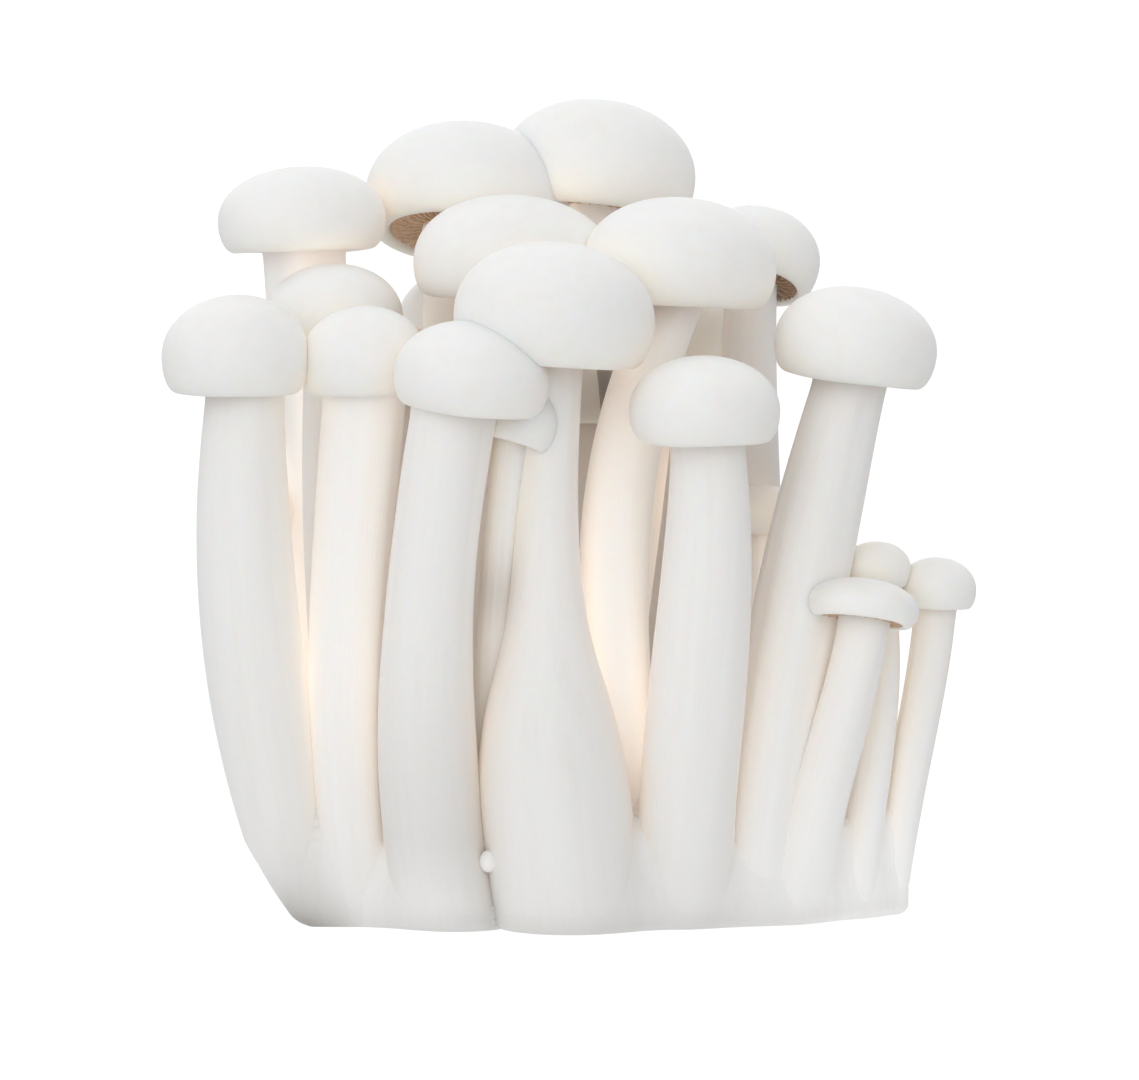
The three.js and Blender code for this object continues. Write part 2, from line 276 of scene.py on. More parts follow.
def hollowShadeAt(points):
    dark = np.zeros(points.shape[:-1])
    for *middle, reach, amount in shadedHollows:
        away = ((points - np.array(middle)) ** 2).sum(-1)
        dark = np.maximum(dark, amount * np.exp(-away / reach ** 2))
    return dark


def seepAt(points, crowd, place=None, clear=0):
    # painted glow, in place of light coming through the flesh into a narrow place
    row = np.clip((seeping["behind"] - points[..., 1]) / seeping["over"], 0, 1)
    low = np.clip(points[..., 2] / seeping["full"], 0, 1) * (1 - hollowShadeAt(points))
    return (seeping["share"].get(place, 1) * crowd ** seeping["narrow"] * row + clear) * low


shadeAndGrey = {
    "edge": (1.5, 0.27),  # painted shade along the cut edge: mm over which it fades upwards, amount
    "low": (20, 0.28),  # painted shade low down on the front row: mm up, amount
    "frontRow": (14.5, 7),  # mm in front of the middle, mm further to its full painted shade
    "more": {"left_front": 0.6},  # stems with more of that painted shade, by this share
    "moreFrom": (3, 6),  # mm above the cut, mm further
    "corner": (-20, 8, 4, 0.9),  # mm in x, mm further, mm up, amount: the worn left end
}


# painted shade near the cut edge, low on the front row and in deep hollows, and greyer low down at the worn
# left end
def shadeAndGreyAt(points, place=None):
    x, y, z = points[..., 0], points[..., 1], points[..., 2]
    start, further, up, amount = shadeAndGrey["corner"]
    corner = amount * np.exp(-z / up) * np.clip((start - x) / further, 0, 1)
    start, further = shadeAndGrey["moreFrom"]
    more = 1 + shadeAndGrey["more"].get(place, 0) * np.clip((z - start) / further, 0, 1)
    start, further = shadeAndGrey["frontRow"]
    up, amount = shadeAndGrey["low"]
    low = amount * more * np.exp(-(z / up) ** 2) * np.clip((-y - start) / further, 0, 1)
    up, amount = shadeAndGrey["edge"]
    return np.clip(amount * np.exp(-z / up) + corner + low + hollowShadeAt(points), 0, 1)


# making meshes

def gridFaces(rings, sides):
    # quads of a closed sleeve, ring after ring
    ring, side = np.meshgrid(np.arange(rings - 1), np.arange(sides), indexing="ij")
    a = ring * sides + side
    b = ring * sides + (side + 1) % sides
    return np.stack([a, b, b + sides, a + sides], -1).reshape(-1, 4)


def closedSleeve(rings):
    # rings of points, from the bottom up, closed with a point in the middle of each end
    count, sides = rings.shape[:2]
    points = np.concatenate([rings.reshape(-1, 3), [rings[0].mean(0), rings[-1].mean(0)]])
    faces = gridFaces(count, sides).tolist()
    low, high = count * sides, count * sides + 1
    last = (count - 1) * sides
    for i in range(sides):
        j = (i + 1) % sides
        faces.append([low, j, i])
        faces.append([high, last + i, last + j])
    return points, faces


def makePiece(name, points, faces, material, slot, nodes=(), grain=None, **shades):
    mesh = bpy.data.meshes.new(name)
    mesh.from_pydata((np.asarray(points) * mm).tolist(), [], faces)
    mesh.polygons.foreach_set("use_smooth", [True] * len(mesh.polygons))
    if grain is not None:
        layer = mesh.attributes.new("grain", "FLOAT_VECTOR", "POINT")
        layer.data.foreach_set("vector", (np.asarray(grain) * mm).astype(np.float32).ravel())
    for layerName, values in shades.items():
        layer = mesh.attributes.new(layerName, "FLOAT", "POINT")
        layer.data.foreach_set("value", np.broadcast_to(values, len(points)).astype(np.float32))
    mesh.materials.append(material)
    mesh.update()
    piece = bpy.data.objects.new(name, mesh)
    bpy.context.scene.collection.objects.link(piece)
    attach(piece, "root")
    if nodes:
        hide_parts(*nodes)
    return piece


# finishes

def newMaterial(name):
    material = bpy.data.materials.new(name)
    material.use_nodes = True
    tree = material.node_tree
    shader = tree.nodes["Principled BSDF"]
    return material, tree, shader


def noiseNode(tree, source, scale, detail, stretch=(1, 1, 1)):
    mapping = tree.nodes.new("ShaderNodeMapping")
    mapping.inputs["Scale"].default_value = stretch
    noise = tree.nodes.new("ShaderNodeTexNoise")
    noise.inputs["Scale"].default_value = scale
    noise.inputs["Detail"].default_value = detail
    tree.links.new(source, mapping.inputs["Vector"])
    tree.links.new(mapping.outputs["Vector"], noise.inputs["Vector"])
    return noise.outputs["Fac"]


def spread(tree, value, source, target=(0, 1)):
    # the source range stretched to the target range
    node = tree.nodes.new("ShaderNodeMapRange")
    for socket, number in zip(("From Min", "From Max", "To Min", "To Max"), (*source, *target)):
        node.inputs[socket].default_value = number
    tree.links.new(value, node.inputs["Value"])
    return node.outputs["Result"]


def blendColour(tree, share, first, second):
    # a colour mix node has its colours in sockets 6 and 7, and gives them mixed in socket 2
    node = tree.nodes.new("ShaderNodeMix")
    node.data_type = "RGBA"
    for socket, colour in ((6, first), (7, second)):
        if isinstance(colour, tuple):
            node.inputs[socket].default_value = (*colour, 1)
        else:
            tree.links.new(colour, node.inputs[socket])
    tree.links.new(share, node.inputs[0])
    return node.outputs[2]


def bumpFrom(tree, shader, height, distance):
    node = tree.nodes.new("ShaderNodeBump")
    node.inputs["Strength"].default_value = 1
    node.inputs["Distance"].default_value = distance
    tree.links.new(height, node.inputs["Height"])
    tree.links.new(node.outputs["Normal"], shader.inputs["Normal"])


def attributeNode(tree, name):
    node = tree.nodes.new("ShaderNodeAttribute")
    node.attribute_name = name
    return node


flesh = {"gloss": 0.35, "radius": (1.0, 0.62, 0.42)}  # light goes further in as it gets redder


def fleshSettings(shader, look):
    shader.inputs["Specular IOR Level"].default_value = flesh["gloss"]
    shader.inputs["Subsurface Radius"].default_value = flesh["radius"]
    shader.inputs["Subsurface Weight"].default_value = look["clear"]
    shader.inputs["Subsurface Scale"].default_value = look["depth"]


# a painted glow (emission) that lifts narrow places, though the flesh is no lamp
def seepingLight(material, tree, shader, look):
    seep = attributeNode(tree, "seep").outputs["Fac"]
    tree.links.new(spread(tree, seep, (0, 1), (0, look["seep"])), shader.inputs["Emission Strength"])
    shader.inputs["Emission Color"].default_value = (*look["seepTint"], 1)
    material.cycles.emission_sampling = "NONE"  # it glows too weakly to be looked for as a light


capSkinLook = {
    "white": (0.935, 0.925, 0.912),
    "shadeOfWhite": (0.92, 0.903, 0.882),  # the faint water marks
    # warm painted shade in crowded places and on the margin's underside
    "warm": (0.97, 0.89, 0.79),
    "markSize": 420, "markRange": (0.45, 0.7),  # noise scale of the marks, and what of it shows
    "grainSize": 4200, "grainRange": (0.3, 0.7),
    "rough": (0.38, 0.5),
    "bump": 0.00003,
    "clear": 0.5, "depth": 0.002,  # subsurface share, metres
    "seep": 0.12, "seepTint": (1, 0.88, 0.76),
}


def capSkin():
    look = capSkinLook
    material, tree, shader = newMaterial("cap skin")
    fleshSettings(shader, look)
    grain = attributeNode(tree, "grain").outputs["Vector"]
    marks = spread(tree, noiseNode(tree, grain, look["markSize"], detail=3), look["markRange"])
    fine = noiseNode(tree, grain, look["grainSize"], detail=4)
    white = blendColour(tree, marks, look["white"], look["shadeOfWhite"])
    warmth = attributeNode(tree, "warmth").outputs["Fac"]
    tree.links.new(blendColour(tree, warmth, white, look["warm"]), shader.inputs["Base Color"])
    tree.links.new(spread(tree, fine, look["grainRange"], look["rough"]), shader.inputs["Roughness"])
    bumpFrom(tree, shader, fine, look["bump"])
    seepingLight(material, tree, shader, look)
    return material


stemFleshLook = {
    "white": (0.92, 0.91, 0.897),
    "streak": (0.90, 0.88, 0.855),
    # warm painted shade in crevices and under the caps, and the cut face's own cream tone
    "warm": (0.985, 0.91, 0.83),
    "cut": (0.33, 0.31, 0.285),  # grey of the foot marks in the cut face, and of the painted shade near the cut edge, on the low front row and in deep hollows
    "streakSize": 900, "streakRange": (0.45, 0.75),
    "fibreSize": 5200, "fibreRange": (0.3, 0.7),
    "stretch": (1, 1, 0.045),  # streaks are this much longer than wide
    "rough": (0.45, 0.62),
    "bump": 0.00004,
    "clear": 0.5, "depth": 0.002,
    "seep": 0.25, "seepTint": (1, 0.88, 0.79),
    "solid": (0.009, 0.02),  # metres above the cut: no light passes through the fused foot below
}


def stemFlesh():
    look = stemFleshLook
    material, tree, shader = newMaterial("stem flesh")
    fleshSettings(shader, look)
    grain = attributeNode(tree, "grain").outputs["Vector"]
    axes = tree.nodes.new("ShaderNodeSeparateXYZ")
    tree.links.new(grain, axes.inputs[0])
    clear = spread(tree, axes.outputs["Z"], look["solid"], (0, look["clear"]))
    tree.links.new(clear, shader.inputs["Subsurface Weight"])
    streaks = noiseNode(tree, grain, look["streakSize"], detail=4, stretch=look["stretch"])
    fibres = noiseNode(tree, grain, look["fibreSize"], detail=3, stretch=look["stretch"])
    white = blendColour(tree, spread(tree, streaks, look["streakRange"]), look["white"], look["streak"])
    warmth = attributeNode(tree, "warmth").outputs["Fac"]
    colour = blendColour(tree, warmth, white, look["warm"])
    cut = attributeNode(tree, "cut").outputs["Fac"]
    tree.links.new(blendColour(tree, cut, colour, look["cut"]), shader.inputs["Base Color"])
    tree.links.new(spread(tree, fibres, look["fibreRange"], look["rough"]), shader.inputs["Roughness"])
    bumpFrom(tree, shader, fibres, look["bump"])
    seepingLight(material, tree, shader, look)
    return material


gillFleshLook = {
    # gill colours warmer and darker than the gills' own cream: partly painted shade under the caps
    "pale": (0.86, 0.65, 0.50),
    "deep": (0.76, 0.50, 0.34),
    # painted shade of gills deep in shadow
    "paintedShade": (0.36, 0.25, 0.18),
    "rough": 0.6,
    "size": 1500, "range": (0.35, 0.7),
    "bump": 0.00003,
    "clear": 0.25, "depth": 0.0008,
}


def gillFlesh():
    look = gillFleshLook
    material, tree, shader = newMaterial("gill flesh")
    fleshSettings(shader, look)
    shader.inputs["Roughness"].default_value = look["rough"]
    spot = tree.nodes.new("ShaderNodeTexCoord").outputs["Object"]
    mottle = noiseNode(tree, spot, look["size"], detail=3)
    colour = blendColour(tree, spread(tree, mottle, look["range"]), look["pale"], look["deep"])
    shade = attributeNode(tree, "shade").outputs["Fac"]
    tree.links.new(blendColour(tree, shade, colour, look["paintedShade"]), shader.inputs["Base Color"])
    bumpFrom(tree, shader, mottle, look["bump"])
    return material


capMaterial = capSkin()
stemMaterial = stemFlesh()
gillMaterial = gillFlesh()
print("finishes made")


# stems

stemShape = {
    "sides": 56,
    "ringEvery": 0.9,  # mm between rings
    "from": 1,  # mm above the cut
    "intoCap": (0.1, 0.8),  # how far it goes on above its top: share of the cap's height, mm more
    "held": (4, 8),  # the base holds the foot round: mm up, mm over which that ends
    "oval": (0.022, 0.03),  # how far from round, share of the radius, and its turning in each mm
    "ridges": 14, "ridge": 0.02 / 3,  # mm, the fine lengthwise ridges
    "ridgesRound": (9, 30),  # how many of one kind go round a stem
    "ridgeWander": (0.2, 0.8), "ridgeWaves": (6, 14), "ridgeFades": (5, 12),  # the waves in mm up
    "grooves": 5, "groove": 0.16,  # mm, the few broader folds
    "grooveWide": (0.1, 0.22), "grooveWander": 0.15, "grooveWaves": (12, 25),
    "grooveAt": (0.1, 0.9), "grooveLong": (0.2, 0.45),  # shares of the stem's height
    "sway": 0.12, "swayWaves": (7, 11),  # mm the middle line wanders
    "flare": (0.05, 2.5),  # widening under the cap, mm below the top from where it starts
    "sunk": (0.12, 2.5),  # mm the foot lies inside the base's own surface, mm over which that ends
    "warmPower": 1.4, "paintedShadeUnder": 0.5,  # warm painted shade in crowded places, and under its own cap
    "warmFrom": 9,  # mm above the cut from where it shows in full
    "seed": 100,
}


# the left end of the base is worn away towards the cut
worn = {"from": -24, "to": -31, "high": 8.5, "depth": 3.6}  # mm


def wornEnd(points):
    x, z = points[..., 0], points[..., 2]
    aside = np.clip((worn["from"] - x) / (worn["from"] - worn["to"]), 0, 1)
    low = np.clip(1 - z / worn["high"], 0, 1)
    moved = points.copy()
    moved[..., 0] = x + worn["depth"] * low ** 1.5 * aside ** 2 * (3 - 2 * aside)
    return moved


def stemRings(place, number):
    stem, cap, shape = stems[place], caps[place], stemShape
    rng = np.random.default_rng(shape["seed"] + number)
    share, more = shape["intoCap"]
    top = stem["top"] + share * cap["high"] + more
    z = np.linspace(shape["from"], top, int(top / shape["ringEvery"]))[:, None]
    angle = (np.arange(shape["sides"]) / shape["sides"] * turn)[None, :]
    height, over = shape["held"]
    free = np.clip((z - height) / over, 0, 1)

    off = np.zeros_like(z * angle)
    oval, turning = shape["oval"]
    for lobes in (2, 3, 4):
        drift = rng.uniform(-turning, turning) * z + rng.uniform(0, turn)
        off = off + oval / (lobes - 1) * np.cos(lobes * angle + drift)
    radius = radiusAt(stem, z)
    off = off * radius * free

    for k in range(shape["ridges"]):
        lobes = rng.integers(*shape["ridgesRound"])
        start, wander = rng.uniform(0, turn), rng.uniform(*shape["ridgeWander"])
        drift = start + wander * np.sin(z / rng.uniform(*shape["ridgeWaves"]) + k)
        strength = 0.5 + 0.5 * np.sin(z / rng.uniform(*shape["ridgeFades"]) + rng.uniform(0, turn))
        off = off + free * shape["ridge"] * strength * np.cos(lobes * angle + drift)

    for _ in range(shape["grooves"]):
        start, wave = rng.uniform(0, turn), rng.uniform(*shape["grooveWaves"])
        middle = start + shape["grooveWander"] * np.sin(z / wave + rng.uniform(0, turn))
        width = rng.uniform(*shape["grooveWide"])
        apart = np.angle(np.exp(1j * (angle - middle)))
        height, length = rng.uniform(*shape["grooveAt"]), rng.uniform(*shape["grooveLong"])
        reach = np.exp(-((z / top - height) / length) ** 2)
        off = off - free * shape["groove"] * reach * np.exp(-((apart / width) ** 2))

    widening, below = shape["flare"]
    flare = 1 + widening * np.clip((z - stem["top"]) / below + 1, 0, 1) ** 2
    depth, over = shape["sunk"]
    sunk = depth * (1 - np.clip((z - shape["from"]) / over, 0, 1))
    out = radius * flare - sunk + off
    sway = shape["sway"] * np.stack(
        [np.sin(z / rng.uniform(*shape["swayWaves"]) + rng.uniform(0, turn)) for _ in range(2)], -1)
    middle = lineAt(stem, z) + sway * free[..., None]
    x = middle[..., 0] + out * np.cos(angle)
    y = middle[..., 1] + out * np.sin(angle)
    grain = np.stack([out * np.cos(angle), out * np.sin(angle), z + 0 * angle], -1)
    return wornEnd(np.stack([x, y, z + 0 * angle], -1)), grain


grainApart = 40  # mm between the patches of noise that two mushrooms take their grain from


def makeStem(place, number):
    rings, grain = stemRings(place, number)
    points, faces = closedSleeve(rings)
    grain = grain.reshape(-1, 3)
    grain = np.concatenate([grain, grain[:1], grain[-1:]]) + [grainApart * number, 0, 0]
    z = rings[..., 2]
    # painted shade: warmer where neighbours close in and just under its own cap
    crowd = crowdedness(rings, outwardOf(rings), place)
    underCap = np.clip(stems[place]["top"] - z, 0, None)
    shaded = stemShape["paintedShadeUnder"] * np.exp(-underCap / crowding["underCap"])
    warm = 1 - (1 - crowd) ** stemShape["warmPower"] * (1 - shaded)
    warm = warm * np.clip(z / stemShape["warmFrom"], 0, 1)
    warm = np.concatenate([warm.ravel(), [0, 1]]) * crowding["paler"].get(place, 1)
    clear = seeping["clear"].get(place, 0)
    seep = np.concatenate([seepAt(rings, crowd, place, clear).ravel(), [0, 0]])
    makePiece("stem_" + place, points, faces, stemMaterial, "stems", ["stem_" + place], grain,
              warmth=warm, seep=seep, cut=shadeAndGreyAt(points, place))


for number, place in enumerate(places):
    makeStem(place, number)
print("stems made")


# caps

capShape = {
    "sides": 96,
    "domeRings": 26, "rimRings": 9, "lipRings": 4, "wallRings": 4,
    "lip": 0.07,  # how far the margin turns under past its lowest ring, share of the radius
    "lipRise": 0.5,  # and how far it comes up again, share of the recess
    "wallLean": 0.1,  # how far the wall over the lip leans in, share of the radius
    "roof": 0.12,  # height of the gill roof over the seat, share of the cap's height
    "roofRings": (0.6, 0.35, 0.12),  # shares of the roof's radius
    "roofRise": 0.03,  # how much higher its middle is, share of the cap's height
    "uneven": 0.012,  # how far the outline is from round, share of the radius
    "wavy": 0.012,  # rise and fall of the margin, share of the radius
    "lopsided": 0.03,  # how far the crown stands off the middle, share of the radius
    "paintedShadeUnder": (0.35, 0.5, 0.4),  # warm painted shade low down under the margin: amount, from, over which share of the height
    "warm": {"right_tiny": 0.55, "right_small_middle": 0.25, "back_inner_right": 0.2},
    "seed": 500,
}


def capSection(cap):
    # half section from the crown, round the margin and in under the roof over the gills
    radius, high = cap["radius"], cap["high"]
    recess = capForm["recess"] * high
    waist = capForm["waist"] * high
    roll = capForm["roll"] * radius
    power = 2 / capForm["fullness"]
    points = []
    for t in np.linspace(quarter, 0, capShape["domeRings"] + 1)[1:]:
        up = waist - recess + (high - waist) * math.sin(t) ** power
        points.append((radius * math.cos(t) ** power, up))
    for t in np.linspace(quarter, 0, capShape["rimRings"] + 1)[1:]:
        points.append((radius - roll * (1 - math.sin(t)), -recess + waist * (1 - math.cos(t))))
    lip = capShape["lip"] * radius
    low = -recess * (1 - capShape["lipRise"])
    for t in np.linspace(0, quarter, capShape["lipRings"] + 1)[1:]:
        points.append((radius - roll - lip * math.sin(t), low - (low + recess) * math.cos(t)))
    inner = radius - roll - lip
    lean = capShape["wallLean"] * radius
    roof = capShape["roof"] * high
    for t in np.linspace(0, quarter, capShape["wallRings"] + 1)[1:]:
        points.append((inner - lean * t / quarter, low + (roof - low) * math.sin(t)))
    for share in capShape["roofRings"]:
        points.append((inner * share, roof + capShape["roofRise"] * high * (1 - share)))
    return np.array(points)


def capSurface(cap, rng, section, angle):
    # section points turned round the axis, with the unevenness of a grown cap
    out, up = section[:, :1], section[:, 1:]
    radius = cap["radius"]
    rim = np.clip(out / radius, 0, 1) ** 2
    grow = np.zeros((1, len(angle)))
    lift = np.zeros((1, len(angle)))
    for lobes in (2, 3, 5):
        grow = grow + capShape["uneven"] / (lobes - 1) * np.cos(lobes * angle + rng.uniform(0, turn))
        lift = lift + capShape["wavy"] / (lobes - 1) * np.cos(lobes * angle + rng.uniform(0, turn))
    lean = rng.uniform(0, turn)
    aside = capShape["lopsided"] * radius * np.clip(up / cap["high"], 0, 1) ** 1.5 * (1 - rim)
    x = out * (1 + grow * rim) * np.cos(angle) + aside * math.cos(lean)
    y = out * (1 + grow * rim) * np.sin(angle) + aside * math.sin(lean)
    return x, y, up + lift * radius * rim


def inPlace(cap, x, y, up):
    axes = np.stack([cap["across"], cap["along"], cap["axis"]])
    return cap["centre"] + np.stack([x, y, up], -1) @ axes


def makeCap(place, number):
    cap = caps[place]
    rng = np.random.default_rng(capShape["seed"] + number)
    angle = np.arange(capShape["sides"]) / capShape["sides"] * turn
    section = capSection(cap)[::-1]
    x, y, up = capSurface(cap, rng, section, angle)
    rings = inPlace(cap, x, y, up)
    points, faces = closedSleeve(rings)
    points[-1] = inPlace(cap, x[-1].mean(), y[-1].mean(), up[-1].mean() + 0.001 * cap["high"])
    grain = points - cap["centre"] + [0, grainApart * number, 0]
    # painted shade: warmer where neighbours close in and on the margin's underside
    crowd = crowdedness(rings, outwardOf(rings), place)
    amount, start, over = capShape["paintedShadeUnder"]
    turnedUnderShade = amount * np.clip(start - up / (over * cap["high"]), 0, 1)
    warm = 1 - (1 - crowd) * (1 - turnedUnderShade) * (1 - capShape["warm"].get(place, 0))
    warm = np.concatenate([warm.ravel(), [0, 0]])
    seep = np.concatenate([seepAt(rings, crowd, place).ravel(), [0, 0]])
    makePiece("cap_" + place, points, faces, capMaterial, "caps", ["cap_" + place], grain,
              warmth=warm, seep=seep)


for number, place in enumerate(places):
    makeCap(place, number)
print("caps made")


# gills: thin upright blades from the margin to the stem, with shorter ones between them

gillShape = {
    "perMm": 3.0, "least": 14,  # full-length gills for each mm of cap radius, and in all
    "lengths": (1.0, 0.28, 0.62, 0.28),  # full ones and the shorter ones between them
    "longer": (0.85, 1.1),  # how unlike each other the short ones are
    "uneven": 0.12,  # how unevenly they stand, share of their spacing
    "thick": 0.24,  # mm at the root
    "edge": 0.11,  # mm at the free edge
    "steps": 7,
    "rooted": 0.25,  # mm into the roof
    "outside": 0.15,  # mm into the margin
    "atStem": 0.9,  # where the inner end is, share of the stem's girth
    "hang": 0.42,  # how far below the seat the free edge hangs, share of the recess
    "belly": 0.4,  # extra depth half way along
    "atEnds": (0.35, 0.8),  # how far they hang at the margin and at the stem, share of that
    "bend": 0.02,  # how far they are from straight, share of the cap's radius
    "paintedShade": {"right_leaning": 0.8, "right_small_front": 0.3},  # share of the darker painted shade
    "seed": 900,
}


def bladePoints(cap, middle, start, end, rng):
    # start and end are distances from the axis: the blade runs inwards from the margin
    radius, high = cap["radius"], cap["high"]
    recess = capForm["recess"] * high
    roof = capShape["roof"] * high + gillShape["rooted"]
    u = np.linspace(0, 1, gillShape["steps"])
    out = start + (end - start) * u
    bend = rng.uniform(-gillShape["bend"], gillShape["bend"]) * radius
    bend = bend * np.sin(u * math.pi) / np.maximum(out, 1)
    low = -recess * (gillShape["hang"] + gillShape["belly"] * np.sin(math.pi * u ** 0.8))
    atMargin, atStem = gillShape["atEnds"]
    low[0] = roof + (low[0] - roof) * atMargin
    low[-1] *= atStem
    points = []
    for side, height, width in (
        (-1, roof + 0 * u, gillShape["thick"]), (-1, low, gillShape["edge"]),
        (1, low, gillShape["edge"]), (1, roof + 0 * u, gillShape["thick"]),
    ):
        angle = middle + bend
        x = out * np.cos(angle) - side * width / 2 * np.sin(angle)
        y = out * np.sin(angle) + side * width / 2 * np.cos(angle)
        points.append(inPlace(cap, x, y, height))
    return np.stack(points, 1)


def makeGills(place, number):
    cap = caps[place]
    rng = np.random.default_rng(gillShape["seed"] + number)
    margin = cap["radius"] * (1 - capForm["roll"] - capShape["lip"]) + gillShape["outside"]
    neck = radiusAt(stems[place], stems[place]["top"]) * gillShape["atStem"]
    lengths, uneven = gillShape["lengths"], gillShape["uneven"]
    count = len(lengths) * max(gillShape["least"], round(gillShape["perMm"] * cap["radius"]))
    blades = []
    for k in range(count):
        middle = (k + rng.uniform(-uneven, uneven)) / count * turn
        length = lengths[k % len(lengths)]
        if length < 1:
            length = length * rng.uniform(*gillShape["longer"])
        end = margin + (neck - margin) * length
        blades.append(bladePoints(cap, middle, margin, end, rng))
    points, faces = [], []
    for blade in blades:
        start = len(points)
        steps, corners = blade.shape[:2]
        points.extend(blade.reshape(-1, 3))
        for i in range(steps - 1):
            for j in range(corners):
                a = start + i * corners + j
                b = start + i * corners + (j + 1) % corners
                faces.append([a, a + corners, b + corners, b])
        faces.append([start + j for j in range(corners)])
        faces.append([start + (steps - 1) * corners + j for j in reversed(range(corners))])
    paintedShade = gillShape["paintedShade"].get(place, 0)
    piece = makePiece("gills_" + place, points, faces, gillMaterial, "caps", shade=paintedShade)
    piece.data.polygons.foreach_set("use_smooth", [False] * len(piece.data.polygons))


for number, place in enumerate(places):
    makeGills(place, number)
print("gills made")


# the fused base

baseShape = {
    "sides": 800,
    "faceRings": 60, "wallRings": 40, "topRings": 13,
    "lowRings": 1.4,  # above 1 the wall's rings stand closer towards the cut
    "high": 13, "rise": 1.5,  # mm, how high the flesh reaches between the stems
    "uneven": (0.5, 0.9, 1.1),  # of that mound: mm, and how closely it goes up and down in x and y
    "fusing": 2.4,  # mm, how softly neighbouring feet run together at the cut
    "fusedHigh": 0.5, "fusedBy": 8.5,  # mm, the same higher up, and from what height on
    "heel": 11, "heelShare": 0.7,  # mm up: below this a foot that draws in stays stouter, by this share
    "web": 0.8,  # girth of the flesh between two feet at the cut, share of theirs
    "webReach": 5,  # mm, feet further apart than this have none
    "joined": ("right_small_end", "back_end_right"),  # but these two have
    "webTop": (8, 14),  # mm, where the flesh between two feet ends
    "webSoft": 2.5,  # mm, how softly it meets the rest half way between the two
    "sharp": 0.02,  # mm, how softly surfaces meet in a crack
    "drawnBack": (0.38, 0.8, 4.5),  # mm the wall goes inside the stems, mm up from where, mm over
    "tuckedIn": (1.4, 8, 5),  # and more near its top
    "edge": 0.7,  # mm, rounding of the cut edge
    "edgeWaves": ((0.3, 3, 1), (0.25, 7, 2)),  # more and less of it: share, waves round, start
    "split": ("left_front", "centre_front"),  # these two feet never grew together
    "footMark": (0.6, 0.28, 0.02),  # each foot's outline in the cut face: mm, amount, amount elsewhere
    "faceWarm": 0.7,  # warm tone of the cut face
    "seed": 31,
}

# the wall is looked for from outside: mm from the middle, and each step's share of the way left
search = {"start": 44, "least": 2, "most": 60, "rounds": 50, "stride": 0.85}

footMiddles = np.array([stems[p]["line"][-1] for p in places])
footRadii = np.array([stems[p]["radii"][0] for p in places])
split = [places.index(p) for p in baseShape["split"]]
webs = []
webDice = np.random.default_rng(baseShape["seed"])
for i, j in combinations(range(len(places)), 2):
    space = np.linalg.norm(footMiddles[i] - footMiddles[j]) - footRadii[i] - footRadii[j]
    joined = {places[i], places[j]} == set(baseShape["joined"])
    if joined or (space < baseShape["webReach"] and {i, j} != set(split)):
        webs.append((i, j, webDice.uniform(*baseShape["webTop"])))


farAway = 1000  # mm


def softMin(a, b, blend):
    near = np.clip(1 - abs(a - b) / blend, 0, 1)
    return np.minimum(a, b) - near ** 2 * blend / 4


def footRadius(stem, z):
    # a bulb hardly draws in again below its widest place
    heel = baseShape["heel"]
    levels = np.linspace(0, heel, 2 * heel + 1)
    stout = np.maximum.accumulate(radiusAt(stem, levels)[::-1])[::-1]
    radius = radiusAt(stem, z)
    share = baseShape["heelShare"]
    return np.where(z < heel, radius + share * (np.interp(z, levels, stout) - radius), radius)


def fleshDistance(x, y, z):
    # distance to the fused feet and the flesh between them, soft where they meet
    up = np.clip(z / baseShape["fusedBy"], 0, 1)
    blend = baseShape["fusing"] * (1 - up) + baseShape["fusedHigh"]
    feet = [(lineAt(stems[p], z), footRadius(stems[p], z)) for p in places]
    away = np.stack([np.hypot(x - m[..., 0], y - m[..., 1]) - r for m, r in feet])
    order = np.argpartition(away, 1, axis=0)[:2]
    first, second = np.take_along_axis(away, order, 0)
    cracked = np.isin(order[0], split) & np.isin(order[1], split)
    between, midway = np.full_like(x, farAway), np.zeros_like(x)
    for i, j, webTop in webs:
        (a, ra), (b, rb) = feet[i], feet[j]
        span = b - a
        share = ((x - a[..., 0]) * span[..., 0] + (y - a[..., 1]) * span[..., 1]) / (span ** 2).sum(-1)
        share = np.clip(share, 0, 1)
        off = np.hypot(x - a[..., 0] - share * span[..., 0], y - a[..., 1] - share * span[..., 1])
        girth = baseShape["web"] * (1 - (z / webTop) ** 2)
        off = np.where(girth > 0, off - girth * (ra + (rb - ra) * share), farAway)
        midway = np.where(off < between, 4 * share * (1 - share), midway)
        between = np.minimum(between, off)
    fused = softMin(first, second, np.where(cracked, baseShape["sharp"], blend))
    return softMin(fused, between, baseShape["webSoft"] * midway + baseShape["sharp"])


def footMarks(face):
    # the feet stay faintly told apart where the knife went through
    x, y = face[..., 0], face[..., 1]
    feet = [np.hypot(x - m[0], y - m[1]) - r for m, r in zip(footMiddles, footRadii)]
    width, amount, elsewhere = baseShape["footMark"]
    return elsewhere + amount * np.exp(-(np.min(feet, axis=0) / width) ** 2)


